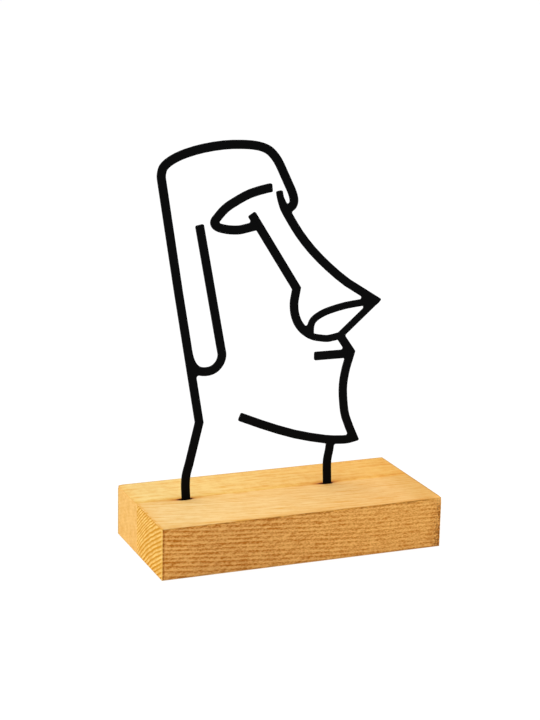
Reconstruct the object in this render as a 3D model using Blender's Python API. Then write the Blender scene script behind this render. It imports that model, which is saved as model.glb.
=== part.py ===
# Stone-figure head drawn as one line, cut from sheet metal, standing in a wooden block.
# Metres, +Z up. X runs along the block towards the nose, Y runs away from the viewer,
# and the origin is the middle of the block's underside.

import math
from collections import namedtuple

import bmesh
import bpy
from mathutils import Vector
from mathutils.geometry import delaunay_2d_cdt, interpolate_bezier

# Wooden block
BASE_LENGTH = 0.170
BASE_DEPTH = 0.080
BASE_HEIGHT = 0.030
BASE_EDGE = 0.0006  # eased edges all round

# Metal profile
HEAD_HEIGHT = 0.202  # from the block's top to the middle of the crown line
SHEET_THICKNESS = 0.0015
LINE_WIDTH = 0.0050
FINE_LINE_WIDTH = 0.0040  # the lines round the nostril
BRIDGE_END_WIDTH = 0.0039  # the nose line narrows to this at its free upper end
CORNER_RADIUS = 0.0009  # every outer corner of the cut outline
NOTCH_RADIUS = 0.0010  # every inner corner, left by the cutter
PROFILE_SETBACK = 0.004  # the sheet's middle plane behind the block's middle

# Slots that hold the two legs
SLOT_DEPTH = 0.015
SLOT_SIDE_PLAY = 0.00035  # each side of the sheet
SLOT_END_PLAY = 0.0010  # each side of a leg
FOOT_GAP = 0.0003  # under each foot

# How finely curves are cut into straight runs
CURVE_STEP = math.radians(4)
CORNER_ANGLE = math.radians(16)  # a sharper turn of the outline is a corner
ARC_POINTS = 5
CUTTER_MARGIN = 0.001
SMALLEST_EDGE = 0.00002
SMALLEST_BEND = math.radians(0.2)
HAIR = 0.000001  # patches this close to each other are joined
MM_PER_METRE = 1000

WOOD_COLOUR = (0.79, 0.49, 0.19, 1.0)
BLACK_COAT_COLOUR = (0.010, 0.010, 0.011, 1.0)

# The drawing of the head. A knot lies in the middle of a line, and its x and z are
# hundredths of HEAD_HEIGHT, measured from the origin's x and from the block's top.
Knot = namedtuple("Knot", "x z width sharp")


def soft(x, z, width=LINE_WIDTH):
    """A knot that the line passes smoothly."""
    return Knot(x, z, width, False)


def sharp(x, z, width=LINE_WIDTH):
    """A knot where the line turns a corner, or where it ends."""
    return Knot(x, z, width, True)


def fine(x, z):
    """A smooth knot of the thin lines round the nostril."""
    return soft(x, z, FINE_LINE_WIDTH)


def fine_end(x, z):
    return sharp(x, z, FINE_LINE_WIDTH)


BACK_AND_CROWN = [
    sharp(-27.6, 0.0), soft(-27.8, 3.6), soft(-27.6, 7.1), soft(-26.8, 10.1),
    sharp(-23.9, 22.1), soft(-30.4, 60.0), soft(-35.4, 90.7), soft(-35.5, 92.5),
    soft(-34.8, 94.5), soft(-32.3, 96.4), soft(-28.6, 97.9), soft(-23.6, 99.1),
    soft(-17.7, 99.8), soft(-12.7, 99.8), soft(-8.1, 99.3), soft(-4.8, 98.1),
    soft(-2.5, 95.9), soft(-0.8, 93.1), soft(2.4, 86.6), soft(3.2, 84.2),
    soft(3.1, 82.8), soft(2.5, 82.0), sharp(1.4, 81.6),
]
NOSE = [
    sharp(-1.2, 86.6, BRIDGE_END_WIDTH), soft(-0.8, 84.6, BRIDGE_END_WIDTH),
    soft(0.4, 81.8), soft(1.9, 79.2), soft(5.1, 74.3), soft(9.1, 69.4),
    soft(14.2, 64.4), soft(20.3, 59.4), sharp(29.3, 53.7), fine_end(28.4, 52.7),
    fine_end(18.5, 44.1),
]
NOSTRIL = [
    fine_end(27.9, 53.7), fine(24.9, 53.3), fine(20.0, 52.8), fine(15.0, 51.7),
    fine(12.3, 50.7), fine(10.2, 49.3), fine(9.4, 47.7), fine_end(9.3, 45.2),
]
CHEEK = [
    sharp(-9.3, 80.5), sharp(4.7, 58.7), soft(4.1, 55.3), soft(4.1, 53.1),
    soft(4.5, 50.9), soft(5.6, 48.4), soft(7.5, 46.2), fine(9.8, 44.5),
    fine(12.5, 43.8), fine(15.0, 43.5), fine_end(18.5, 44.1),
]
BROW_AND_EYE = [
    sharp(-3.3, 87.6), soft(-4.8, 87.4), soft(-9.8, 86.2), soft(-14.6, 83.9),
    soft(-17.1, 82.3), soft(-19.2, 80.1), soft(-20.1, 78.7), soft(-19.4, 77.5),
    soft(-17.2, 76.7), soft(-14.7, 76.3), soft(-12.2, 76.3), sharp(-7.5, 77.2),
]
EAR = [
    sharp(-24.5, 78.2), soft(-17.7, 43.0), soft(-17.4, 40.9), soft(-18.1, 38.8),
    soft(-19.8, 37.2), soft(-22.1, 36.7), soft(-24.4, 37.2), soft(-26.1, 38.9),
    soft(-27.2, 41.7), sharp(-27.8, 45.0),
]
LIP_CHIN_AND_JAW = [
    sharp(18.3, 44.4), sharp(22.1, 39.0), soft(20.8, 34.6), soft(20.0, 29.6),
    soft(20.2, 24.7), soft(21.1, 19.7), sharp(23.9, 13.2), soft(22.2, 12.9),
    soft(20.0, 12.9), soft(15.0, 13.5), soft(5.1, 16.0), soft(-4.8, 19.7),
    sharp(-11.8, 22.7),
]
MOUTH = [sharp(10.7, 38.6), sharp(21.2, 38.6)]
RIGHT_LEG = [
    sharp(15.9, 0.0), soft(15.7, 4.4), soft(15.7, 7.3), soft(16.2, 10.0),
    sharp(16.6, 13.0),
]


def clear_scene():
    for item in list(bpy.data.objects):
        bpy.data.objects.remove(item, do_unlink=True)


def make_material(name, colour, roughness, metallic):
    material = bpy.data.materials.new(name)
    material.use_nodes = True
    shader = material.node_tree.nodes["Principled BSDF"]
    shader.inputs["Base Color"].default_value = colour
    shader.inputs["Roughness"].default_value = roughness
    shader.inputs["Metallic"].default_value = metallic
    return material


def in_metres(knot):
    """A knot's place on the sheet: across and up from the block's top."""
    return Vector((knot.x, knot.z)) * HEAD_HEIGHT / 100


def with_foot(knots):
    """Carry a leg straight down from its first knot into the block's slot."""
    drop = (SLOT_DEPTH - FOOT_GAP) / HEAD_HEIGHT * 100
    top = knots[0]
    return [top._replace(z=-drop), top] + knots[1:]


def tangent(knots, index):
    """Direction of the line at a smooth knot, from its two neighbours."""
    before = in_metres(knots[index - 1])
    after = in_metres(knots[index + 1])
    return (after - before).normalized()


def turn(first, second):
    """Signed angle from one direction to the next, counter-clockwise positive."""
    cross = first.x * second.y - first.y * second.x
    return math.atan2(cross, first.dot(second))


def sample_line(knots):
    """Points along the middle of a line, and the line's half width at each."""
    points = []
    halves = []
    for index in range(len(knots) - 1):
        here, there = knots[index], knots[index + 1]
        start, end = in_metres(here), in_metres(there)
        chord = end - start
        reach = chord.length / 3
        leaving = chord.normalized() if here.sharp else tangent(knots, index)
        arriving = chord.normalized() if there.sharp else tangent(knots, index + 1)
        bend = abs(turn(leaving, chord)) + abs(turn(chord, arriving))
        steps = max(1, math.ceil(bend / CURVE_STEP))
        run = interpolate_bezier(
            start, start + leaving * reach, end - arriving * reach, end, steps + 1)
        for step in range(steps):
            share = step / steps
            points.append(Vector(run[step][:2]))
            halves.append((here.width * (1 - share) + there.width * share) / 2)
    points.append(in_metres(knots[-1]))
    halves.append(knots[-1].width / 2)
    return points, halves


def sideways(run):
    """Unit direction to the left of a run."""
    return Vector((-run.y, run.x)).normalized()


def line_patches(knots):
    """One drawn line as small convex patches: its runs, and a mitre at each bend."""
    points, halves = sample_line(knots)
    patches = []
    for start, end, half, next_half in zip(points, points[1:], halves, halves[1:]):
        left = sideways(end - start)
        patches.append([start - left * half, end - left * next_half,
                        end + left * next_half, start + left * half])
    for before, bend, after, half in zip(points, points[1:], points[2:], halves[1:]):
        arriving, leaving = sideways(bend - before), sideways(after - bend)
        outer = -1 if turn(arriving, leaving) > 0 else 1
        middle = (arriving + leaving).normalized()
        mitre = middle * half / middle.dot(arriving)
        patch = [bend, bend + arriving * half * outer, bend + mitre * outer,
                 bend + leaving * half * outer]
        patches.append(patch if outer < 0 else patch[::-1])
    return patches


def covers(patch, spot):
    """Whether a convex patch, drawn counter-clockwise, holds a spot or just meets it."""
    for start, end in zip(patch, patch[1:] + patch[:1]):
        run, reach = end - start, spot - start
        if run.x * reach.y - run.y * reach.x < -HAIR * run.length:
            return False
    return True


def union_outlines(patches):
    """Outer outline and holes of all the patches laid over one another."""
    coords = []
    edges = []
    for patch in patches:
        first = len(coords)
        coords += [point * MM_PER_METRE for point in patch]
        corners = range(len(patch))
        edges += [(first + i, first + (i + 1) % len(patch)) for i in corners]
    places, _, tris, _, _, _ = delaunay_2d_cdt(coords, edges, [], 0, HAIR * MM_PER_METRE)
    places = [place / MM_PER_METRE for place in places]
    sides = set()
    for a, b, c in tris:
        middle = (places[a] + places[b] + places[c]) / 3
        if any(covers(patch, middle) for patch in patches):
            sides |= {(a, b), (b, c), (c, a)}
    following = {start: end for start, end in sides if (end, start) not in sides}
    loops = []
    while following:
        start, here = following.popitem()
        loop = [start]
        while here != start:
            loop.append(here)
            here = following.pop(here)
        loops.append([places[index] for index in loop])
    return loops


def clean_loop(loop):
    """The outline without points that repeat or lie on a straight edge."""
    spaced = []
    for index, point in enumerate(loop):
        if (point - loop[index - 1]).length > SMALLEST_EDGE:
            spaced.append(point)
    bends = []
    for index, point in enumerate(spaced):
        before = spaced[index - 1]
        after = spaced[(index + 1) % len(spaced)]
        if abs(turn(point - before, after - point)) > SMALLEST_BEND:
            bends.append(point)
    return bends


def trim_run(run, start, end):
    """A run of points with a length cut off at each end."""
    for cut in (start, end):
        left = cut
        while len(run) > 2 and (run[1] - run[0]).length <= left:
            left -= (run[1] - run[0]).length
            run = run[1:]
        step = run[1] - run[0]
        run = [run[0] + step * min(left / step.length, 0.98)] + run[1:]
        run = run[::-1]
    return run


def run_length(run):
    return sum((b - a).length for a, b in zip(run, run[1:]))


def round_corners(loop):
    """The outline with an arc in place of each corner."""
    count = len(loop)
    turns = []
    for index in range(count):
        arriving = loop[index] - loop[index - 1]
        leaving = loop[(index + 1) % count] - loop[index]
        turns.append(turn(arriving, leaving))
    corners = [i for i in range(count) if abs(turns[i]) > CORNER_ANGLE]
    if not corners:
        return loop
    runs = []
    for number, corner in enumerate(corners):
        stop = corners[(number + 1) % len(corners)]
        stop += count if stop <= corner else 0
        runs.append([loop[i % count] for i in range(corner, stop + 1)])
    cuts = []
    for number, corner in enumerate(corners):
        radius = CORNER_RADIUS if turns[corner] > 0 else NOTCH_RADIUS
        room = min(run_length(runs[number - 1]), run_length(runs[number])) * 0.48
        cuts.append(min(radius * math.tan(abs(turns[corner]) / 2), room))
    trimmed = [
        trim_run(run, cuts[i], cuts[(i + 1) % len(cuts)]) for i, run in enumerate(runs)]
    rounded = []
    for number, run in enumerate(trimmed):
        onward = trimmed[(number + 1) % len(trimmed)]
        leaving = (run[-1] - run[-2]).normalized()
        arriving = (onward[1] - onward[0]).normalized()
        bend = abs(turn(leaving, arriving))
        span = (onward[0] - run[-1]).length / (2 * math.cos(bend / 2))
        reach = span * 4 / 3 * math.tan(bend / 4) / math.tan(bend / 2)
        arc = interpolate_bezier(
            run[-1], run[-1] + leaving * reach, onward[0] - arriving * reach, onward[0],
            ARC_POINTS)
        rounded += run[:-1] + [Vector(point[:2]) for point in arc[:-1]]
    return rounded


def solid_from_outlines(name, loops, thickness):
    """Mesh object: the filled outlines drawn in XY, as thick as asked about Z = 0."""
    shape = bmesh.new()
    edges = []
    for loop in loops:
        verts = [shape.verts.new((point.x, point.y, -thickness / 2)) for point in loop]
        edges += [shape.edges.new((verts[i - 1], verts[i])) for i in range(len(verts))]
    bmesh.ops.triangle_fill(shape, use_beauty=True, use_dissolve=False, edges=edges)
    grown = bmesh.ops.extrude_face_region(shape, geom=shape.faces[:])
    moved = [item for item in grown["geom"] if isinstance(item, bmesh.types.BMVert)]
    bmesh.ops.translate(shape, verts=moved, vec=(0, 0, thickness))
    bmesh.ops.recalc_face_normals(shape, faces=shape.faces[:])
    mesh = bpy.data.meshes.new(name)
    shape.to_mesh(mesh)
    shape.free()
    body = bpy.data.objects.new(name, mesh)
    bpy.context.collection.objects.link(body)
    return body


def slot_outline(length, width):
    """A slot with round ends, about its own middle."""
    radius = width / 2
    outline = []
    for end in (1, -1):
        for step in range(ARC_POINTS):
            angle = math.pi * (step / (ARC_POINTS - 1) - 0.5)
            spot = Vector((length / 2 - radius + radius * math.cos(angle),
                           radius * math.sin(angle)))
            outline.append(spot * end)
    return outline


def make_slot_cutter(knot):
    """Cutter for the slot under one leg."""
    outline = slot_outline(LINE_WIDTH + 2 * SLOT_END_PLAY,
                           SHEET_THICKNESS + 2 * SLOT_SIDE_PLAY)
    height = SLOT_DEPTH + CUTTER_MARGIN
    cutter = solid_from_outlines("slot_cutter", [outline], height)
    middle = BASE_HEIGHT - SLOT_DEPTH + height / 2
    cutter.location = (in_metres(knot).x, PROFILE_SETBACK, middle)
    cutter.hide_render = True
    cutter.display_type = "WIRE"
    return cutter


def make_wooden_base(material):
    """Sawn block with eased edges and a blind slot for each leg."""
    bpy.ops.mesh.primitive_cube_add(size=1, location=(0, 0, BASE_HEIGHT / 2))
    base = bpy.context.object
    base.name = "wooden_base"
    base.scale = (BASE_LENGTH, BASE_DEPTH, BASE_HEIGHT)
    bpy.ops.object.transform_apply(location=False, rotation=False, scale=True)
    base.data.materials.append(material)
    eased = base.modifiers.new("eased edges", "BEVEL")
    eased.width = BASE_EDGE
    eased.segments = 1
    for leg in (BACK_AND_CROWN, RIGHT_LEG):
        slot = base.modifiers.new("leg slot", "BOOLEAN")
        slot.operation = "DIFFERENCE"
        slot.solver = "EXACT"
        slot.object = make_slot_cutter(leg[0])
    return base


def make_metal_profile(material):
    """The whole head as one flat piece, standing on edge in the slots."""
    lines = [
        with_foot(BACK_AND_CROWN), NOSE, NOSTRIL, CHEEK, BROW_AND_EYE, EAR,
        LIP_CHIN_AND_JAW, MOUTH, with_foot(RIGHT_LEG),
    ]
    loops = union_outlines([patch for line in lines for patch in line_patches(line)])
    loops = [round_corners(clean_loop(loop)) for loop in loops]
    profile = solid_from_outlines("metal_profile", loops, SHEET_THICKNESS)
    profile.location = (0, PROFILE_SETBACK, BASE_HEIGHT)
    profile.rotation_euler = (math.radians(90), 0, 0)
    profile.data.materials.append(material)
    return profile


clear_scene()
make_wooden_base(make_material("wood", WOOD_COLOUR, 0.7, 0.0))
make_metal_profile(make_material("black_coat", BLACK_COAT_COLOUR, 0.55, 0.0))
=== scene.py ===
# A stone-figure head drawn as a line in black sheet metal, on a block of sawn softwood.
import math

import bpy
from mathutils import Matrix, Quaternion, Vector


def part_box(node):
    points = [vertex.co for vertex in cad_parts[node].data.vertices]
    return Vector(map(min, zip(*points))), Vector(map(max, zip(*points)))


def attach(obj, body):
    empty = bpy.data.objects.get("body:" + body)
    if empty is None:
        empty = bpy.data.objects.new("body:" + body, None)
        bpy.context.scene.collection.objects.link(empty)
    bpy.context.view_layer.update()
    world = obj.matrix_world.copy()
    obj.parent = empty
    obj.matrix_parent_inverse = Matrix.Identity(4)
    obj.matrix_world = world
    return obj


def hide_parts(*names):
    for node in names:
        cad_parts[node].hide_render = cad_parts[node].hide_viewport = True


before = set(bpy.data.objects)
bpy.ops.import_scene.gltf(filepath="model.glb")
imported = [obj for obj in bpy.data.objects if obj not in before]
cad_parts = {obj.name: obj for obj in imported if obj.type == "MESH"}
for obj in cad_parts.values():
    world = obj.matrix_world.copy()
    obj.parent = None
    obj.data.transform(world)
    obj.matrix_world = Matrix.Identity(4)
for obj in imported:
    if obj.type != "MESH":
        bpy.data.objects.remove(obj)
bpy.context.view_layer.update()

mm = 0.001
perMetre = 1000          # patterns and reliefs are worked out in millimetres
blockLow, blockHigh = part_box("wooden_base")
sheetLow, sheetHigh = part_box("metal_profile")
lowMm, highMm = blockLow * perMetre, blockHigh * perMetre
creaseAngle = math.radians(40)  # sharper edges than this stay sharp in the shading
sameSpot = 0.001 * mm    # points closer than this are one
clearance = 2 * mm       # cutters stand out this far, and the slots are deeper than this
straight = 0.98          # from this share on, a direction counts as running along an axis


def showStage(text):
    print("scene:", text)


# Small helpers for work by hand

def deselectAll():
    if bpy.context.object and bpy.context.object.mode != "OBJECT":
        bpy.ops.object.mode_set(mode="OBJECT")
    bpy.ops.object.select_all(action="DESELECT")


def makeActive(piece):
    deselectAll()
    piece.select_set(True)
    bpy.context.view_layer.objects.active = piece


def pickEdges(piece, wanted):
    # selects the edges for which wanted(start, end) holds, and stays in edit mode
    bpy.ops.object.mode_set(mode="EDIT")
    bpy.ops.mesh.select_mode(type="EDGE")
    bpy.ops.mesh.select_all(action="DESELECT")
    bpy.ops.object.mode_set(mode="OBJECT")
    spots = piece.data.vertices
    for edge in piece.data.edges:
        edge.select = wanted(spots[edge.vertices[0]].co, spots[edge.vertices[1]].co)
    bpy.ops.object.mode_set(mode="EDIT")


def pickFaces(piece, wanted):
    # selects the faces whose normal is wanted, and stays in edit mode
    bpy.ops.object.mode_set(mode="EDIT")
    bpy.ops.mesh.select_mode(type="FACE")
    bpy.ops.mesh.select_all(action="DESELECT")
    bpy.ops.object.mode_set(mode="OBJECT")
    for face in piece.data.polygons:
        face.select = wanted(face.normal)
    bpy.ops.object.mode_set(mode="EDIT")


def mergeDoubles(reach):
    # merges all points of the piece in edit mode that lie within reach of each other
    bpy.ops.mesh.select_all(action="SELECT")
    bpy.ops.mesh.remove_doubles(threshold=reach)


def applyModifier(piece, modifier):
    makeActive(piece)
    bpy.ops.object.modifier_apply(modifier=modifier.name)


def settle(piece):
    # puts the piece's place, turn and size into its mesh
    makeActive(piece)
    bpy.ops.object.transform_apply(location=True, rotation=True, scale=True)


def paintWith(piece, material):
    piece.data.materials.clear()
    piece.data.materials.append(material)


# Node helpers: each adds one node or a few and returns the result

nodeColumn = {"length": 6, "width": 200, "height": 190}  # how the nodes are laid out


def addNode(tree, kind, inputs, **settings):
    node = tree.nodes.new(kind)
    column, row = divmod(len(tree.nodes), nodeColumn["length"])
    node.location = (nodeColumn["width"] * column, -nodeColumn["height"] * row)
    for name, value in settings.items():
        setattr(node, name, value)
    for key, value in inputs.items():
        if isinstance(value, bpy.types.NodeSocket):
            tree.links.new(value, node.inputs[key])
        else:
            node.inputs[key].default_value = value
    return node


def calc(tree, operation, *values):
    return addNode(tree, "ShaderNodeMath", dict(enumerate(values)), operation=operation).outputs[0]


def ease(tree, value, start, end, low=0.0, high=1.0):
    # a smooth step from low to high while the value goes from start to end
    inputs = {"Value": value, "From Min": start, "From Max": end, "To Min": low, "To Max": high}
    return addNode(tree, "ShaderNodeMapRange", inputs, interpolation_type="SMOOTHSTEP").outputs[0]


def fadeOut(tree, value, start, end):
    # one up to the start, nought from the end on
    return ease(tree, value, start, end, 1.0, 0.0)


def band(tree, value, start, full, fading, end):
    # one between full and fading, nought before the start and past the end
    return calc(tree, "MULTIPLY", ease(tree, value, start, full), fadeOut(tree, value, fading, end))


def noise(tree, place, perMm, detail, roughness):
    # perMm says how many waves each millimetre along X, Y and Z holds
    stretched = addNode(tree, "ShaderNodeVectorMath", {0: place, 1: perMm}, operation="MULTIPLY")
    inputs = {"Vector": stretched.outputs[0], "Scale": 1.0, "Detail": detail, "Roughness": roughness}
    return addNode(tree, "ShaderNodeTexNoise", inputs).outputs[0]


def centred(tree, value, size=1.0):
    # turns a noise value into one that swings about nought
    return calc(tree, "MULTIPLY_ADD", value, 2 * size, -size)


def reachOf(tree, *gaps):
    # how far a point is from the edge or corner that these gaps lead to
    total = calc(tree, "MULTIPLY", gaps[0], gaps[0])
    for gap in gaps[1:]:
        total = calc(tree, "MULTIPLY_ADD", gap, gap, total)
    return calc(tree, "SQRT", total)


def tint(tree, share, first, second, blend="MIX"):
    mixer = addNode(tree, "ShaderNodeMix", {}, data_type="RGBA", blend_type=blend)
    for socket, value in zip((mixer.inputs[0], mixer.inputs[6], mixer.inputs[7]), (share, first, second)):
        if isinstance(value, bpy.types.NodeSocket):
            tree.links.new(value, socket)
        elif isinstance(value, tuple):
            socket.default_value = (*value, 1.0)
        else:
            socket.default_value = value
    return mixer.outputs[2]


def millimetres(tree):
    # the point on the object, in millimetres
    here = addNode(tree, "ShaderNodeTexCoord", {}).outputs["Object"]
    scale = (perMetre, perMetre, perMetre)
    return addNode(tree, "ShaderNodeMapping", {"Vector": here, "Scale": scale}).outputs[0]


def roughen(tree, shader, height):
    # the finest relief, its height given in millimetres
    bump = addNode(tree, "ShaderNodeBump", {"Height": height, "Distance": mm, "Strength": 1.0})
    tree.links.new(bump.outputs[0], shader.inputs["Normal"])


# The wood: two strips of one softwood, glued along the line of the slots. Lengths are millimetres.
# Pairs hold a value for the front strip and one for the back strip, or where the note says so one
# for the block's left end and one for its right end.
wood = {
    "jointY": 4.2,           # where the front strip ends and the back strip begins
    "pithY": (-100.0, -31.0),  # the middle of the tree
    "pithZ": (-121.0, -125.0),
    "pithFall": (0.060, 0.010),  # the middle sinks this much per mm along X
    "pithBend": (-0.00026, 0.00005),  # and less and less of it towards +X
    "ringGap": (2.36, 1.92),
    "lateYears": (163.0, 500.0),  # from this radius on the rings grew narrower, in the back strip nowhere
    "lateLean": 0.20,        # and sooner so towards the back
    "lateGap": 1.74,
    "growthWaves": 0.21,     # waves of fast and slow growth in each mm of radius
    "ringUneven": 0.40,      # rings gained or lost by them
    "wander": 0.9,           # how far a ring strays from its circle
    "ripple": 0.5,           # and its small waves
    "tear": (0.25, 0.60),    # how far the saw dragged the fibres, at the left and at the right end
    "darkWood": (0.22, 0.76, 0.82, 1.0),  # shares of a year: begins, is full, begins to end, is over
    "paleWood": (0.0, 0.10, 0.16, 0.40),  # the first soft wood of the next year
    "faintestYear": 0.82,    # of the darkest one
    "yearsApart": 50.0,      # so that the two strips show different years
    "bandsApart": 30.0,
    "slant": 0.10,           # the front strip's grain on the planed faces, against the long edges
    "slantBend": -0.0008,
    "sawTurn": 32.0,         # degrees from level, the way the saw teeth ran
    "faceTurn": (0.25, 0.60),  # one face's look gives way to its neighbour's this far from their edge
    "fadedGrain": (0.36, 0.64),  # noise levels between which the rings come and go
}

# Patterns in the wood: waves in each millimetre along X, Y and Z, octaves and roughness
woodPatterns = {
    "wander": ((0.010, 0.035, 0.035), 2.0, 0.5),
    "ripple": ((0.045, 0.14, 0.14), 2.0, 0.5),
    "bands": ((0.014, 0.40, 1.0), 2.0, 0.6),  # some years paler and some darker
    "fuzz": ((0.40, 0.85, 0.85), 3.0, 0.7),
    "fibre": ((0.020, 1.1, 1.1), 3.0, 0.65),
    "strand": ((0.022, 0.50, 0.50), 4.0, 0.7),
    "grit": ((0.65, 1.25, 1.25), 2.0, 0.6),
    "dash": ((0.15, 1.5, 1.5), 2.0, 0.6),
    "fade": ((0.08, 0.14, 0.14), 2.0, 0.5),
    "mottle": ((0.2, 0.17, 0.22), 3.0, 0.6),
    "patch": ((0.018, 0.035, 0.05), 2.0, 0.5),
    "sawMark": ((0.12, 0.05, 0.50), 0.0, 0.5),
    "splinter": ((0.13, 0.6, 1.3), 3.0, 0.65),
    "crumbs": ((0.80, 1.0, 0.95), 3.0, 0.65),
    "pits": ((0.95, 1.2, 0.85), 2.0, 0.6),
    "hairs": ((0.35, 3.2, 3.2), 3.0, 0.6),
}


def pattern(tree, name, place):
    return noise(tree, place, *woodPatterns[name])


def alongX(tree, x, atLeft, atRight):
    # a value that changes from the block's left end to its right end
    return ease(tree, x, lowMm.x, highMm.x, atLeft, atRight)


def ofStrip(tree, back, front, rear):
    # one value for the front strip and one for the back strip
    return calc(tree, "MULTIPLY_ADD", back, rear - front, front)


def findFaces(tree, x, y, z):
    # the way to each face, and how much a point belongs to the planed faces, the ends and the sawn sides
    gap = {
        "left": calc(tree, "SUBTRACT", x, lowMm.x),
        "right": calc(tree, "SUBTRACT", highMm.x, x),
        "front": calc(tree, "SUBTRACT", y, lowMm.y),
        "back": calc(tree, "SUBTRACT", highMm.y, y),
        "top": calc(tree, "SUBTRACT", highMm.z, z),
    }
    planed = fadeOut(tree, calc(tree, "MINIMUM", gap["top"], z), *wood["faceTurn"])
    upright = calc(tree, "SUBTRACT", 1.0, planed)
    endGap = calc(tree, "MINIMUM", gap["left"], gap["right"])
    end = calc(tree, "MULTIPLY", fadeOut(tree, endGap, *wood["faceTurn"]), upright)
    sawn = calc(tree, "SUBTRACT", upright, end)
    return gap, {"planed": planed, "end": end, "sawn": sawn}


def growRings(tree, place, gap, x, y, z, fuzz, sawn):
    # rings about each strip's own pith, with a late, dark and hard part that ends abruptly
    back = calc(tree, "GREATER_THAN", y, wood["jointY"])
    bend = ofStrip(tree, back, *wood["pithBend"])
    across = calc(tree, "SUBTRACT", y, ofStrip(tree, back, *wood["pithY"]))
    slope = calc(tree, "MULTIPLY_ADD", x, bend, ofStrip(tree, back, *wood["pithFall"]))
    up = calc(tree, "SUBTRACT", z, ofStrip(tree, back, *wood["pithZ"]))
    up = calc(tree, "MULTIPLY_ADD", x, slope, up)
    stray = centred(tree, pattern(tree, "wander", place), wood["wander"])
    ripple = centred(tree, pattern(tree, "ripple", place), wood["ripple"])
    dragged = calc(tree, "MULTIPLY", centred(tree, fuzz), alongX(tree, x, *wood["tear"]))
    ripple = calc(tree, "MULTIPLY_ADD", dragged, sawn, ripple)
    radius = calc(tree, "ADD", calc(tree, "ADD", reachOf(tree, across, up), stray), ripple)

    # the count of years at this radius
    inputs = {"W": radius, "Scale": wood["growthWaves"], "Detail": 1.0}
    growth = addNode(tree, "ShaderNodeTexNoise", inputs, noise_dimensions="1D").outputs[0]
    leaning = calc(tree, "MULTIPLY_ADD", gap["front"], wood["lateLean"], radius)
    lateYears = ofStrip(tree, back, *wood["lateYears"])
    extra = calc(tree, "MAXIMUM", calc(tree, "SUBTRACT", leaning, lateYears), 0.0)
    perYear = [1 / wide for wide in wood["ringGap"]]
    years = calc(tree, "MULTIPLY", radius, ofStrip(tree, back, *perYear))
    years = calc(tree, "MULTIPLY_ADD", extra, 1 / wood["lateGap"] - perYear[0], years)
    years = calc(tree, "MULTIPLY_ADD", growth, wood["ringUneven"], years)

    share = calc(tree, "FRACT", years)
    late = band(tree, share, *wood["darkWood"])
    pale = band(tree, share, *wood["paleWood"])
    year = calc(tree, "MULTIPLY_ADD", back, wood["yearsApart"], calc(tree, "FLOOR", years))
    strength = addNode(tree, "ShaderNodeTexWhiteNoise", {"W": year}, noise_dimensions="1D").outputs[0]
    late = calc(tree, "MULTIPLY", late, ease(tree, strength, 0.0, 1.0, wood["faintestYear"], 1.0))
    apart = calc(tree, "MULTIPLY", back, wood["bandsApart"])
    alongRing = addNode(tree, "ShaderNodeCombineXYZ", {0: x, 1: radius, 2: apart}).outputs[0]
    return {"back": back, "late": late, "pale": pale, "bands": pattern(tree, "bands", alongRing)}


# Wear of the block's edges, in millimetres from the edge or corner. A knock has an inner reach, an
# outer reach and a depth. Levels are the noise levels between which a break begins and is full.
wear = {
    "frontKnock": (0.5, 3.5, 0.20),  # at the right front corner
    "backKnock": (0.3, 2.5, 0.12),   # at the left back corner
    "endKnock": (0.2, 2.6, 0.22),    # along the back strip's left upper edge
    "underTop": (0.30, 0.55, 0.8, 2.1),  # splinters: start, full, begin to end and end, below the top
    "soundCorner": (3.0, 13.0),      # but none close to the right front corner
    "splinterShift": (-0.51, -0.44),  # more of them at the right end than at the left end
    "splinterLevel": (0.0, 0.12),
    "foot": (0.4, 1.2),              # crumbs along the lower edge
    "footLevel": (0.44, 0.60),
    "rightEdge": (0.3, 8.5),         # pits down the right edge
    "rightShift": 0.14,              # more of them close to it
    "lowDown": (2.0, 29.0, 0.05, -0.04),  # and more at the foot than under the top
    "rightLevel": (0.61, 0.66),
    "leftEdge": (0.4, 2.4),          # crumbs down the left edge
    "leftLevel": (0.44, 0.53),
    "endRim": (0.5, 1.7),            # fine breaks where the top meets an end
    "endRimStrips": (1.0, 0.1),      # front and back strip
    "endRimLevel": (0.40, 0.56),
}


def wearEdges(tree, gap, back):
    # corners and an upper edge rounded by knocks
    corner = reachOf(tree, gap["right"], gap["front"], gap["top"])
    backCorner = reachOf(tree, gap["left"], gap["back"], gap["top"])
    leftEdge = reachOf(tree, gap["left"], gap["top"])
    knocks = []
    for reach, name in ((corner, "frontKnock"), (backCorner, "backKnock"), (leftEdge, "endKnock")):
        knocks.append(ease(tree, reach, *wear[name], 0.0))
    blunt = calc(tree, "ADD", knocks[0], knocks[1])
    return corner, calc(tree, "MULTIPLY_ADD", knocks[2], back, blunt)


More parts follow.
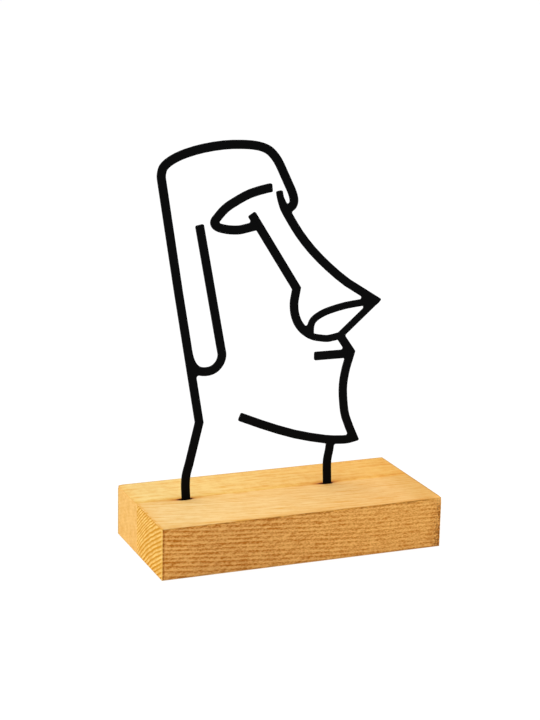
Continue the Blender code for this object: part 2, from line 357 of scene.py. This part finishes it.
def tearEdges(tree, place, grown):
    # splinters lifted along the front upper edge, and crumbled stretches down both front edges
    gap = grown["gap"]
    splinter = pattern(tree, "splinter", place)
    crumbs = pattern(tree, "crumbs", place)
    below = band(tree, gap["top"], *wear["underTop"])
    below = calc(tree, "MULTIPLY", below, ease(tree, grown["corner"], *wear["soundCorner"]))
    lifted = calc(tree, "ADD", splinter, alongX(tree, grown["x"], *wear["splinterShift"]))
    under = calc(tree, "MULTIPLY", below, ease(tree, lifted, *wear["splinterLevel"]))
    foot = ease(tree, splinter, *wear["footLevel"])
    foot = calc(tree, "MULTIPLY", foot, fadeOut(tree, grown["z"], *wear["foot"]))
    # the right edge is crumbled furthest, most of all low down
    right = fadeOut(tree, gap["right"], *wear["rightEdge"])
    shift = calc(tree, "MULTIPLY_ADD", right, wear["rightShift"], ease(tree, grown["z"], *wear["lowDown"]))
    pits = calc(tree, "ADD", pattern(tree, "pits", place), shift)
    right = calc(tree, "MULTIPLY", right, ease(tree, pits, *wear["rightLevel"]))
    left = ease(tree, crumbs, *wear["leftLevel"])
    left = calc(tree, "MULTIPLY", left, fadeOut(tree, gap["left"], *wear["leftEdge"]))
    total = under
    for tear in (foot, right, left):
        total = calc(tree, "MAXIMUM", total, tear)
    # fine breaks along the front strip's upper edge at both ends
    rim = calc(tree, "MINIMUM", gap["left"], gap["right"])
    rim = fadeOut(tree, reachOf(tree, rim, gap["top"]), *wear["endRim"])
    rim = calc(tree, "MULTIPLY", rim, ofStrip(tree, grown["back"], *wear["endRimStrips"]))
    return {"torn": calc(tree, "MULTIPLY", total, grown["sawn"]),
            "worn": calc(tree, "MULTIPLY", rim, ease(tree, crumbs, *wear["endRimLevel"]))}


def growWood(tree, place):
    # The same nodes shape the relief and colour the surface, so the two always agree.
    x, y, z = addNode(tree, "ShaderNodeSeparateXYZ", {0: place}).outputs
    gap, face = findFaces(tree, x, y, z)
    slant = calc(tree, "MULTIPLY", x, calc(tree, "MULTIPLY_ADD", x, wood["slantBend"], wood["slant"]))
    slant = calc(tree, "MULTIPLY", slant, calc(tree, "LESS_THAN", y, wood["jointY"]))
    slanted = calc(tree, "MULTIPLY_ADD", slant, face["planed"], y)
    tilted = calc(tree, "MULTIPLY_ADD", x, wood["pithFall"][0], z)
    grain = addNode(tree, "ShaderNodeCombineXYZ", {0: x, 1: slanted, 2: tilted}).outputs[0]
    grown = {"x": x, "y": y, "z": z, "gap": gap, **face}
    for name in ("fuzz", "fibre", "strand", "grit", "dash", "fade"):
        grown[name] = pattern(tree, name, grain)
    for name in ("mottle", "patch"):
        grown[name] = pattern(tree, name, place)
    grown["fade"] = ease(tree, grown["fade"], *wood["fadedGrain"])
    turned = {0: place, 3: math.radians(wood["sawTurn"])}
    teeth = addNode(tree, "ShaderNodeVectorRotate", turned, rotation_type="Y_AXIS").outputs[0]
    grown["sawMark"] = pattern(tree, "sawMark", teeth)
    grown.update(growRings(tree, place, gap, x, y, z, grown["fuzz"], face["sawn"]))
    grown["corner"], grown["blunt"] = wearEdges(tree, gap, grown["back"])
    grown.update(tearEdges(tree, place, grown))
    return grown


# The block is a cube that is eased, sliced into a fine net and roughened face by face.
woodenBlock = {
    "edgeRound": 0.30,       # mm
    "edgeSteps": 2,
    "netAlong": (10, 13),    # parts along the grain, made in two rounds of slicing
    "netAcross": (10, 22),
    "netUp": (2, 41),
    "planedRelief": 0.03,    # mm, how far the soft early wood lies below the hard late wood
    "sawnRelief": 0.06,
    "endRelief": 0.06,
    "fuzzRelief": 0.12,      # mm, torn fibres on the sawn sides
    "sawMarkRelief": 0.05,
    "tornDepth": 0.15,
    "slotRound": 0.96,       # of the slot's half width, left by the bit
    "slotSteps": 5,
    "checkLength": 4.7,      # mm, half length of the fine crack through each slot
    "checkWidth": (1.90, 1.25),  # mm, half width in its middle, left slot and right slot
    "checkDepth": 2.5,       # mm
    "checkSides": 8,
    "checkPlace": ((-0.7, -0.6), (-0.7, 0.3)),  # mm, from the middle of each slot
}


def sliceAlong(block, axis, rounds):
    # cuts every edge that runs along an axis into equal parts
    rounding = 2 * woodenBlock["edgeRound"] * mm

    def runsAlong(start, end):
        step = end - start
        return abs(step[axis]) > straight * step.length and step.length > rounding

    for parts in rounds:
        pickEdges(block, runsAlong)
        bpy.ops.mesh.subdivide(number_cuts=parts - 1)
    bpy.ops.object.mode_set(mode="OBJECT")


def roughenWood(block):
    tree = bpy.data.node_groups.new("sawnRelief", "GeometryNodeTree")
    tree.interface.new_socket("Geometry", in_out="INPUT", socket_type="NodeSocketGeometry")
    tree.interface.new_socket("Geometry", in_out="OUTPUT", socket_type="NodeSocketGeometry")
    start = addNode(tree, "NodeGroupInput", {})
    here = addNode(tree, "GeometryNodeInputPosition", {}).outputs[0]
    scaled = {0: here, 1: (perMetre, perMetre, perMetre)}
    place = addNode(tree, "ShaderNodeVectorMath", scaled, operation="MULTIPLY").outputs[0]
    grown = growWood(tree, place)

    # depth in millimetres, always inwards
    early = calc(tree, "SUBTRACT", 1.0, grown["late"])
    sawn = calc(tree, "MULTIPLY", early, woodenBlock["sawnRelief"])
    for name, key in (("fuzz", "fuzzRelief"), ("sawMark", "sawMarkRelief"), ("torn", "tornDepth")):
        sawn = calc(tree, "MULTIPLY_ADD", grown[name], woodenBlock[key], sawn)
    planed = calc(tree, "MULTIPLY", early, woodenBlock["planedRelief"])
    end = calc(tree, "MULTIPLY", early, woodenBlock["endRelief"])
    total = grown["blunt"]
    for name, depth in (("planed", planed), ("sawn", sawn), ("end", end)):
        total = calc(tree, "MULTIPLY_ADD", grown[name], depth, total)
    inwards = calc(tree, "MULTIPLY", total, -mm)

    outwards = addNode(tree, "GeometryNodeInputNormal", {}).outputs[0]
    offset = addNode(tree, "ShaderNodeVectorMath", {0: outwards, "Scale": inwards}, operation="SCALE")
    inputs = {"Geometry": start.outputs[0], "Offset": offset.outputs[0]}
    moved = addNode(tree, "GeometryNodeSetPosition", inputs)
    addNode(tree, "NodeGroupOutput", {0: moved.outputs[0]})
    relief = block.modifiers.new("sawn relief", "NODES")
    relief.node_group = tree
    applyModifier(block, relief)


def findSlots():
    # the lowest and highest corner of each slot's floor, read from the frame's own wooden base
    floors = [v.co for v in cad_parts["wooden_base"].data.vertices
              if blockLow.z + clearance < v.co.z < blockHigh.z - clearance]
    slots = []
    for side in ([p for p in floors if p.x < 0], [p for p in floors if p.x > 0]):
        slots.append([Vector(pick(p[axis] for p in side) for axis in range(3)) for pick in (min, max)])
    return slots


def makeSlotCutter(low, high):
    # the mortised slot, its upright edges rounded by the bit
    middle = (low + high) / 2
    half = (high - low) / 2
    tall = blockHigh.z + clearance - low.z
    deselectAll()
    bpy.ops.mesh.primitive_cube_add(size=2, location=(middle.x, middle.y, low.z + tall / 2))
    slot = bpy.context.object
    slot.scale = (half.x, half.y, tall / 2)
    settle(slot)
    pickEdges(slot, lambda start, end: abs(start.z - end.z) > tall / 2)
    bpy.ops.mesh.bevel(offset=half.y * woodenBlock["slotRound"], segments=woodenBlock["slotSteps"])
    bpy.ops.object.mode_set(mode="OBJECT")
    return slot


def makeCrackCutter(middle, halfWidth, shift):
    # the fine crack that runs out of both ends of the slot along the grain
    place = (middle.x + shift[0] * mm, middle.y + shift[1] * mm, blockHigh.z)
    deselectAll()
    bpy.ops.mesh.primitive_cylinder_add(vertices=woodenBlock["checkSides"], radius=1, depth=2, location=place)
    crack = bpy.context.object
    crack.scale = (woodenBlock["checkLength"] * mm, halfWidth * mm, woodenBlock["checkDepth"] * mm)
    settle(crack)
    return crack


def cutSlots(block):
    sides = zip(findSlots(), woodenBlock["checkWidth"], woodenBlock["checkPlace"])
    for (low, high), halfWidth, shift in sides:
        for cutter in (makeSlotCutter(low, high), makeCrackCutter((low + high) / 2, halfWidth, shift)):
            cut = block.modifiers.new("slot", "BOOLEAN")
            cut.operation = "DIFFERENCE"
            cut.solver = "EXACT"
            cut.object = cutter
            applyModifier(block, cut)
            bpy.data.objects.remove(cutter, do_unlink=True)


def makeWoodenBlock():
    deselectAll()
    bpy.ops.mesh.primitive_cube_add(size=1, location=(blockLow + blockHigh) / 2)
    block = bpy.context.object
    block.name = "woodenBlock"
    block.scale = blockHigh - blockLow
    settle(block)
    pickEdges(block, lambda start, end: True)
    bpy.ops.mesh.bevel(offset=woodenBlock["edgeRound"] * mm, segments=woodenBlock["edgeSteps"])
    bpy.ops.object.mode_set(mode="OBJECT")
    for axis, rounds in enumerate(("netAlong", "netAcross", "netUp")):
        sliceAlong(block, axis, woodenBlock[rounds])
    # the underside lies flat, so it needs no net
    pickFaces(block, lambda normal: normal.z < -straight)
    bpy.ops.mesh.dissolve_faces()
    bpy.ops.object.mode_set(mode="OBJECT")
    showStage("wooden block sliced, %d faces" % len(block.data.polygons))
    roughenWood(block)
    cutSlots(block)
    makeActive(block)
    bpy.ops.object.shade_smooth_by_angle(angle=creaseAngle)
    paintWith(block, makeWoodFinish())
    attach(block, "root")
    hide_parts("wooden_base")
    showStage("wooden block roughened and slotted")


# Plain colours first, then the tones that are laid over them.
woodColours = {
    "planedFront": (0.800, 0.560, 0.240),
    "planedBack": (0.790, 0.562, 0.202),
    "planedLate": (0.680, 0.345, 0.050),
    "sawnLight": (0.940, 0.512, 0.138),
    "sawnDark": (0.500, 0.158, 0.004),
    "endLight": (0.940, 0.622, 0.182),
    "endLate": (0.600, 0.250, 0.000),
    "endBack": (0.865, 0.535, 0.172),
    "torn": (0.220, 0.060, 0.000),
    "slotShade": (0.190, 0.030, 0.000),         # painted shade at the lip of the slots and in them
    "legShadow": (0.790, 0.520, 0.050),        # painted shadow of the legs, streaks along the grain round the slots
    "nearLegShadow": (0.760, 0.600, 0.300),    # and a darker painted shadow close to them
    "sawnEdge": (0.760, 0.580, 0.330),     # the sawn sides close to the ends
    "underArris": (0.935, 0.845, 0.530),   # and close to the top
    "paintedLeftShade": (0.848, 0.811, 0.827),     # painted shade: the sawn sides are darker towards -X, where less light falls
    "arris": (0.770, 0.740, 0.600),        # painted shade on eased edges, where their rounding turns from the light
    "farFront": (0.985, 0.860, 0.715),     # the planed faces grow warmer towards +X
    "farBack": (0.985, 0.790, 0.520),
    "rightEnd": (0.890, 0.855, 0.680),     # and once more over the last stretch
    "leftEnd": (0.950, 0.962, 0.990),      # and are cooler close to the left end
    "rim": (0.975, 0.910, 0.780),          # along the front and the left edge
    "besideJoint": (0.965, 0.935, 0.850),  # in front of the glued joint
    "joint": (0.930, 0.850, 0.580),        # and along it
}

# How the patterns mark each face: marks are weights, and a span says between which sums of them the
# tone goes from its first colour to its second. Lengths are millimetres from the edge or the joint.
planedFace = {
    "marks": {"fibre": 0.95, "strand": 0.75, "bands": 0.15, "fuzz": 0.25, "mottle": 0.28},
    "backMottle": 0.30,      # and so much more on the back strip
    "rings": 0.20,
    "span": (-0.40, 0.85),
    "rightEnd": (5.0, 24.0),
    "rightEndStrips": (1.0, 0.55),  # front and back strip
    "leftEnd": (14.0, 40.0),
    "rim": (0.0, 8.0),
    "besideJoint": (-16.0, -1.0),
    "joint": (-0.6, 2.0, 3.6, 7.0),
    "jointByMottle": (0.30, 0.65, 0.55, 1.15),  # the joint comes and goes
}

sawnFace = {
    "marks": {"fuzz": 0.45, "grit": 1.95, "dash": 0.85, "fibre": 0.15, "bands": 0.03, "patch": 0.12},
    "rings": (0.40, 0.46),   # where they come and go, and everywhere
    "ringsAlong": (1.45, 0.80),  # left end and right end
    "meanLate": 0.25,        # taken off, so that a fading ring leaves the tone as it is
    "paleRing": 0.45,        # how much lighter the palest wood is
    "sawMarks": 0.95,
    "sawMarksAlong": (1.0, 0.30),  # left end and right end
    "span": (-1.10, 1.42),
    "edge": (0.6, 2.0),
    "rightEdge": (5.0, 9.5, 0.25),
    "underArris": (0.5, 2.0),
    "paintedLeftShade": (-62.0, 62.0),  # painted shade towards -X, mm along X
    "farLeft": (-88.0, -50.0, 0.65),  # the painted shade weaker again by the left end
}

endFace = {
    "ringsStrips": (1.0, 0.10),  # front and back strip
    "ringsAcross": (-16.0, 2.0, 1.48, 1.20),  # mm along Y, clearer at the front
    "rings": (0.20, 0.80),   # where they come and go, and everywhere
    "ringsAtFront": (0.8, 2.6, 0.45),  # but fainter at the very front edge: a painted highlight on its rounding
    "mottleSpan": (0.3, 0.7),
    "mottleStrips": (0.50, 0.40),  # front and back strip
    "fuzzSpan": (0.3, 0.7, 0.0, 0.16),
}


def addMarks(tree, grown, weights):
    # the sum of several marks, each swinging about nought by its weight
    total = None
    for name, weight in weights.items():
        part = centred(tree, grown[name], weight)
        total = part if total is None else calc(tree, "ADD", total, part)
    return total


def paintPlaned(tree, grown):
    # planed top and underside: two tones that meet at the slots, faint rings, straight fibres
    colours, look, gap, back = woodColours, planedFace, grown["gap"], grown["back"]
    colour = tint(tree, back, colours["planedFront"], colours["planedBack"])
    marks = addMarks(tree, grown, look["marks"])
    more = calc(tree, "MULTIPLY", centred(tree, grown["mottle"], look["backMottle"]), back)
    marks = calc(tree, "ADD", marks, calc(tree, "MULTIPLY_ADD", grown["late"], look["rings"], more))
    colour = tint(tree, ease(tree, marks, *look["span"]), colour, colours["planedLate"])

    far = tint(tree, back, colours["farFront"], colours["farBack"])
    colour = tint(tree, alongX(tree, grown["x"], 0.0, 1.0), colour, far, "MULTIPLY")
    atRight = ofStrip(tree, back, *look["rightEndStrips"])
    atRight = calc(tree, "MULTIPLY", fadeOut(tree, gap["right"], *look["rightEnd"]), atRight)
    colour = tint(tree, atRight, colour, colours["rightEnd"], "MULTIPLY")
    atLeft = fadeOut(tree, gap["left"], *look["leftEnd"])
    colour = tint(tree, atLeft, colour, colours["leftEnd"], "MULTIPLY")
    atRim = fadeOut(tree, calc(tree, "MINIMUM", gap["left"], gap["front"]), *look["rim"])
    colour = tint(tree, atRim, colour, colours["rim"], "MULTIPLY")

    behind = calc(tree, "SUBTRACT", grown["y"], wood["jointY"])
    beside = ease(tree, behind, *look["besideJoint"])
    beside = calc(tree, "MULTIPLY", beside, calc(tree, "LESS_THAN", behind, 0.0))
    colour = tint(tree, beside, colour, colours["besideJoint"], "MULTIPLY")
    atJoint = band(tree, behind, *look["joint"])
    atJoint = calc(tree, "MULTIPLY", atJoint, ease(tree, grown["mottle"], *look["jointByMottle"]))
    return tint(tree, atJoint, colour, colours["joint"], "MULTIPLY")


def paintSawn(tree, grown):
    # sawn front and back: torn fibres catch and hold the dark
    colours, look, gap, x = woodColours, sawnFace, grown["gap"], grown["x"]
    shown = calc(tree, "MULTIPLY_ADD", grown["fade"], *look["rings"])
    shown = calc(tree, "MULTIPLY", shown, alongX(tree, x, *look["ringsAlong"]))
    ringed = calc(tree, "SUBTRACT", grown["late"], look["meanLate"])
    ringed = calc(tree, "MULTIPLY_ADD", grown["pale"], -look["paleRing"], ringed)
    shade = calc(tree, "MULTIPLY_ADD", ringed, shown, addMarks(tree, grown, look["marks"]))
    sawMarks = centred(tree, grown["sawMark"], look["sawMarks"])
    shade = calc(tree, "MULTIPLY_ADD", sawMarks, alongX(tree, x, *look["sawMarksAlong"]), shade)
    colour = tint(tree, ease(tree, shade, *look["span"]), colours["sawnLight"], colours["sawnDark"])

    edge = fadeOut(tree, calc(tree, "MINIMUM", gap["left"], gap["right"]), *look["edge"])
    edge = calc(tree, "MAXIMUM", edge, ease(tree, gap["right"], *look["rightEdge"], 0.0))
    colour = tint(tree, edge, colour, colours["sawnEdge"], "MULTIPLY")
    under = fadeOut(tree, gap["top"], *look["underArris"])
    colour = tint(tree, under, colour, colours["underArris"], "MULTIPLY")
    # painted shade: the sawn sides grow darker towards -X
    leftShadeShare = fadeOut(tree, x, *look["paintedLeftShade"])
    leftShadeShare = calc(tree, "MULTIPLY", leftShadeShare, ease(tree, x, *look["farLeft"], 1.0))
    return tint(tree, leftShadeShare, colour, colours["paintedLeftShade"], "MULTIPLY")


def paintEnds(tree, grown):
    # sawn ends: clear rings in the front strip, hardly any in the back strip
    colours, look, back = woodColours, endFace, grown["back"]
    shown = ofStrip(tree, back, *look["ringsStrips"])
    shown = calc(tree, "MULTIPLY", shown, ease(tree, grown["y"], *look["ringsAcross"]))
    shown = calc(tree, "MULTIPLY", shown, calc(tree, "MULTIPLY_ADD", grown["fade"], *look["rings"]))
    # painted highlight: the rings fade at the rounded front edge
    shown = calc(tree, "MULTIPLY", shown, ease(tree, grown["gap"]["front"], *look["ringsAtFront"], 1.0))
    colour = tint(tree, back, colours["endLight"], colours["endBack"])
    colour = tint(tree, calc(tree, "MULTIPLY", grown["late"], shown), colour, colours["endLate"])
    mottled = ease(tree, grown["mottle"], *look["mottleSpan"])
    mottled = calc(tree, "MULTIPLY", mottled, ofStrip(tree, back, *look["mottleStrips"]))
    colour = tint(tree, mottled, colour, colours["endLate"])
    return tint(tree, ease(tree, grown["fuzz"], *look["fuzzSpan"]), colour, colours["endLate"])


# What is laid over all faces: worn and torn places, painted shade on some edges, painted light on one corner,
# and painted shadow and shade round the slots.
# A slot's marks are ellipses: place from its middle and half length along X and Y, in millimetres.
woodOverlay = {
    "worn": 0.75,
    "torn": 0.72,
    "litCorner": (1.5, 7.0, 0.55),  # painted light on the right front corner, reach and share
    "arrisStart": 0.4,
    "arrises": (("back", "top", 1.8), ("right", "top", 1.3), ("left", "back", 3.2)),  # edges with painted shade, and their reach
    # painted shadow of the legs along the grain, left slot and right slot, then closer in
    "legShadow": ((-1.5, 0.5, 14.0, 2.2), (-1.0, 1.6, 14.0, 2.2)),  # left slot and right slot
    "nearLegShadow": ((-1.5, -0.2, 8.0, 1.9), (-1.0, 1.0, 8.0, 1.9)),
    "nearLegShadowSpan": (0.30, 1.40),
    # painted shade at the lip and inside of each slot, left slot and right slot
    "slotShade": ((-0.9, -0.4, 5.5, 2.0), (-0.7, 0.7, 5.5, 1.6)),
    "slotShadeSpan": (0.50, 1.25),
    "roughness": (0.82, 0.60),  # sawn and planed
    "fibreRoughness": 0.12,
    "gloss": 0.25,
    "hairRelief": (0.20, 0.03),  # mm, sawn and planed, under what the net of the mesh can hold
}


def paintedEdgeShade(tree, gap):
    # painted shade: one on the edges whose rounding shows against the ground, nought a little way off
    total = None
    for first, second, reach in woodOverlay["arrises"]:
        share = fadeOut(tree, reachOf(tree, gap[first], gap[second]), woodOverlay["arrisStart"], reach)
        total = share if total is None else calc(tree, "MAXIMUM", total, share)
    return total


def slotEllipse(tree, grown, spots):
    # nought close to the middle of each slot, one on an ellipse about it
    total = None
    for (low, high), (shiftX, shiftY, reachX, reachY) in zip(findSlots(), spots):
        middle = (low + high) / 2 * perMetre
        offX = calc(tree, "DIVIDE", calc(tree, "ADD", grown["x"], -middle.x - shiftX), reachX)
        offY = calc(tree, "DIVIDE", calc(tree, "ADD", grown["y"], -middle.y - shiftY), reachY)
        spot = calc(tree, "MULTIPLY_ADD", offX, offX, calc(tree, "MULTIPLY", offY, offY))
        total = spot if total is None else calc(tree, "MINIMUM", total, spot)
    return total


def shadeRoundSlots(tree, grown, colour):
    # painted shadow of the leg along the grain round each slot, and painted shade at its lip
    colours, look = woodColours, woodOverlay
    # painted shadow of the leg, fading along the grain away from the slot
    spot = slotEllipse(tree, grown, look["legShadow"])
    shadowed = calc(tree, "EXPONENT", calc(tree, "MULTIPLY", spot, -1.0))
    colour = tint(tree, shadowed, colour, colours["legShadow"], "MULTIPLY")
    spot = slotEllipse(tree, grown, look["nearLegShadow"])
    deep = fadeOut(tree, spot, *look["nearLegShadowSpan"])
    colour = tint(tree, deep, colour, colours["nearLegShadow"], "MULTIPLY")
    # painted shade, dark, at the lip of each slot and in it
    spot = slotEllipse(tree, grown, look["slotShade"])
    return tint(tree, fadeOut(tree, spot, *look["slotShadeSpan"]), colour, colours["slotShade"])


def makeWoodFinish():
    finish = bpy.data.materials.new("sawnSoftwood")
    finish.use_nodes = True
    tree = finish.node_tree
    shader = tree.nodes["Principled BSDF"]
    place = millimetres(tree)
    grown = growWood(tree, place)
    colours, look = woodColours, woodOverlay
    colour = tint(tree, grown["planed"], paintSawn(tree, grown), paintPlaned(tree, grown))
    colour = tint(tree, grown["end"], colour, paintEnds(tree, grown))
    colour = tint(tree, calc(tree, "MULTIPLY", grown["worn"], look["worn"]), colour, colours["endLate"])
    colour = tint(tree, calc(tree, "MULTIPLY", grown["torn"], look["torn"]), colour, colours["torn"])
    # painted light: the right front corner lighter, as if its rounding caught the light from above
    cornerLight = ease(tree, grown["corner"], *look["litCorner"], 0.0)
    colour = tint(tree, cornerLight, colour, colours["sawnLight"])
    # painted shade along three eased edges
    colour = tint(tree, paintedEdgeShade(tree, grown["gap"]), colour, colours["arris"], "MULTIPLY")
    colour = shadeRoundSlots(tree, grown, colour)
    tree.links.new(colour, shader.inputs["Base Color"])
    rough = ease(tree, grown["planed"], 0.0, 1.0, *look["roughness"])
    rough = calc(tree, "MULTIPLY_ADD", grown["fibre"], look["fibreRoughness"], rough)
    tree.links.new(rough, shader.inputs["Roughness"])
    shader.inputs["Specular IOR Level"].default_value = look["gloss"]
    relief = ease(tree, grown["planed"], 0.0, 1.0, *look["hairRelief"])
    roughen(tree, shader, calc(tree, "MULTIPLY", pattern(tree, "hairs", place), relief))
    return finish


# The sheet metal: the outline of the cut profile, made a plate with softly rounded edges.
sheetMetal = {
    "edgeRound": 0.22,       # mm, the coat runs thin and round over the cut edge
    "edgeSteps": 2,
    "shortestSide": 0.10,    # mm, shorter sides of the outline would fold over when it is rounded
    "black": (0.0014, 0.0014, 0.0015),
    "glint": 1.8,             # painted glints: times the black, where fine grit catches the light
    "glintSpan": (0.35, 0.75),
    "roughness": (0.50, 0.62),
    "cloudSpan": (0.3, 0.7),
    "gloss": 0.035,
    "peel": ((1.1, 1.1, 1.1), 2.0, 0.5),  # waves in each mm, octaves and roughness
    "grit": ((4.5, 4.5, 4.5), 2.0, 0.6),
    "cloud": ((0.05, 0.05, 0.05), 3.0, 0.6),
    "peelDepth": 0.012,      # mm, ripple of the baked powder
    "gritDepth": 0.006,
}


def makeBlackCoat():
    coat = bpy.data.materials.new("blackPowderCoat")
    coat.use_nodes = True
    tree = coat.node_tree
    shader = tree.nodes["Principled BSDF"]
    shader.inputs["Specular IOR Level"].default_value = sheetMetal["gloss"]
    place = millimetres(tree)
    peel, grit, cloud = [noise(tree, place, *sheetMetal[name]) for name in ("peel", "grit", "cloud")]
    black = sheetMetal["black"]
    # painted glints on the fine grit of the coat
    glinted = tuple(sheetMetal["glint"] * part for part in black)
    colour = tint(tree, ease(tree, grit, *sheetMetal["glintSpan"]), black, glinted)
    tree.links.new(colour, shader.inputs["Base Color"])
    rough = ease(tree, cloud, *sheetMetal["cloudSpan"], *sheetMetal["roughness"])
    tree.links.new(rough, shader.inputs["Roughness"])
    peeled = calc(tree, "MULTIPLY", peel, sheetMetal["peelDepth"])
    roughen(tree, shader, calc(tree, "MULTIPLY_ADD", grit, sheetMetal["gritDepth"], peeled))
    return coat


def takeOutline():
    # the edges round the front face of the frame's own profile, as a piece of its own
    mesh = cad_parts["metal_profile"].data.copy()
    head = bpy.data.objects.new("metalHead", mesh)
    bpy.context.collection.objects.link(head)
    makeActive(head)
    bpy.ops.object.mode_set(mode="EDIT")
    mergeDoubles(sameSpot)
    pickFaces(head, lambda normal: normal.y < -straight)
    bpy.ops.mesh.select_all(action="INVERT")
    bpy.ops.mesh.delete(type="FACE")
    bpy.ops.mesh.select_all(action="SELECT")
    bpy.ops.mesh.region_to_loop()
    bpy.ops.mesh.select_all(action="INVERT")
    bpy.ops.mesh.delete(type="EDGE")
    mergeDoubles(sheetMetal["shortestSide"] * mm)
    bpy.ops.object.mode_set(mode="OBJECT")
    return head


def makeMetalHead():
    head = takeOutline()
    # laid down flat it becomes a filled curve with a rounded rim
    head.rotation_euler = (-math.pi / 2, 0, 0)
    head.location = (0, 0, sheetLow.y)
    settle(head)
    bpy.ops.object.convert(target="CURVE")
    curve = bpy.context.object.data
    curve.dimensions = "2D"
    curve.fill_mode = "BOTH"
    edgeRound = sheetMetal["edgeRound"] * mm
    curve.offset = -edgeRound
    curve.bevel_depth = edgeRound
    curve.bevel_resolution = sheetMetal["edgeSteps"]
    curve.extrude = (sheetHigh.y - sheetLow.y) / 2 - edgeRound
    makeActive(bpy.context.object)
    bpy.ops.object.convert(target="MESH")
    head = bpy.context.object
    head.rotation_euler = (math.pi / 2, 0, 0)
    head.location = (0, (sheetLow.y + sheetHigh.y) / 2, 0)
    settle(head)
    bpy.ops.object.mode_set(mode="EDIT")
    mergeDoubles(sameSpot)
    bpy.ops.mesh.normals_make_consistent(inside=False)
    bpy.ops.object.mode_set(mode="OBJECT")
    bpy.ops.object.shade_smooth_by_angle(angle=creaseAngle)
    even = head.modifiers.new("even shading", "WEIGHTED_NORMAL")
    even.keep_sharp = True
    applyModifier(head, even)
    paintWith(head, makeBlackCoat())
    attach(head, "root")
    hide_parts("metal_profile")
    showStage("metal head rounded, %d faces" % len(head.data.polygons))


# The camera stands where the photograph was taken from.
camera = {
    "turn": -22.361,         # degrees round the object
    "lift": 14.636,          # degrees above the ground
    "roll": 1.254,           # degrees
    "distance": 1.042741,    # metres from the point it looks at
    "lookAt": (-0.007458, 0.0, 0.108961),
    "lens": 91.99,           # mm, for the film side below
    "filmSide": 36.0,
}


def placeCamera():
    turn, lift = math.radians(camera["turn"]), math.radians(camera["lift"])
    back = Vector((math.sin(turn) * math.cos(lift), -math.cos(turn) * math.cos(lift), math.sin(lift)))
    lens = bpy.data.cameras.new("photoCamera")
    lens.lens = camera["lens"]
    lens.sensor_width = camera["filmSide"]
    lens.clip_start = 10 * mm
    viewer = bpy.data.objects.new("photoCamera", lens)
    bpy.context.collection.objects.link(viewer)
    viewer.location = Vector(camera["lookAt"]) + back * camera["distance"]
    roll = Quaternion((0, 0, 1), math.radians(camera["roll"]))
    viewer.rotation_euler = (back.to_track_quat("Z", "Y") @ roll).to_euler()
    bpy.context.scene.camera = viewer


# Plain pale studio: a white ground, a pale sky and one broad soft box up to the left.
studio = {
    "ground": 0.85,
    "groundSide": 60,        # metres
    "groundRoughness": 0.9,
    "groundGloss": 0.1,
    "groundGlow": 0.90,      # the camera sees this share of the ground as plain light
    "glowLevel": 1.04,
    "sky": 0.67,             # light from all round
    "backdrop": 1.0,         # what the camera sees behind the object
    "boxPlace": (-0.90, 0.30, 2.05),
    "boxSide": 3.4,
    "boxWatts": 64.0,
}


def layGround():
    deselectAll()
    bpy.ops.mesh.primitive_plane_add(size=studio["groundSide"], location=(0, 0, 0))
    ground = bpy.context.object
    ground.name = "ground"
    paint = bpy.data.materials.new("paleGround")
    paint.use_nodes = True
    tree = paint.node_tree
    shader = tree.nodes["Principled BSDF"]
    shader.inputs["Roughness"].default_value = studio["groundRoughness"]
    shader.inputs["Specular IOR Level"].default_value = studio["groundGloss"]
    shader.inputs["Emission Color"].default_value = (1, 1, 1, 1)
    # only the camera sees the glow, all other light meets a plain pale ground
    seen = addNode(tree, "ShaderNodeLightPath", {}).outputs["Is Camera Ray"]
    pale = studio["ground"]
    shown = pale * (1 - studio["groundGlow"])
    colour = tint(tree, seen, (pale, pale, pale), (shown, shown, shown))
    tree.links.new(colour, shader.inputs["Base Color"])
    glow = calc(tree, "MULTIPLY", seen, studio["groundGlow"] * studio["glowLevel"])
    tree.links.new(glow, shader.inputs["Emission Strength"])
    paintWith(ground, paint)


def lightStudio():
    lamp = bpy.data.lights.new("softBox", "AREA")
    lamp.size = studio["boxSide"]
    lamp.energy = studio["boxWatts"]
    box = bpy.data.objects.new("softBox", lamp)
    bpy.context.collection.objects.link(box)
    box.location = studio["boxPlace"]
    box.rotation_euler = (-Vector(studio["boxPlace"])).to_track_quat("-Z", "Y").to_euler()
    world = bpy.data.worlds.new("studio")
    world.use_nodes = True
    bpy.context.scene.world = world
    tree = world.node_tree
    seen = addNode(tree, "ShaderNodeLightPath", {}).outputs["Is Camera Ray"]
    level = calc(tree, "MULTIPLY_ADD", seen, studio["backdrop"] - studio["sky"], studio["sky"])
    tree.links.new(level, tree.nodes["Background"].inputs["Strength"])
    tree.nodes["Background"].inputs["Color"].default_value = (1, 1, 1, 1)
    bpy.context.scene.view_settings.view_transform = "Standard"


makeWoodenBlock()
makeMetalHead()
placeCamera()
layGround()
lightStudio()
showStage("camera and studio light placed")
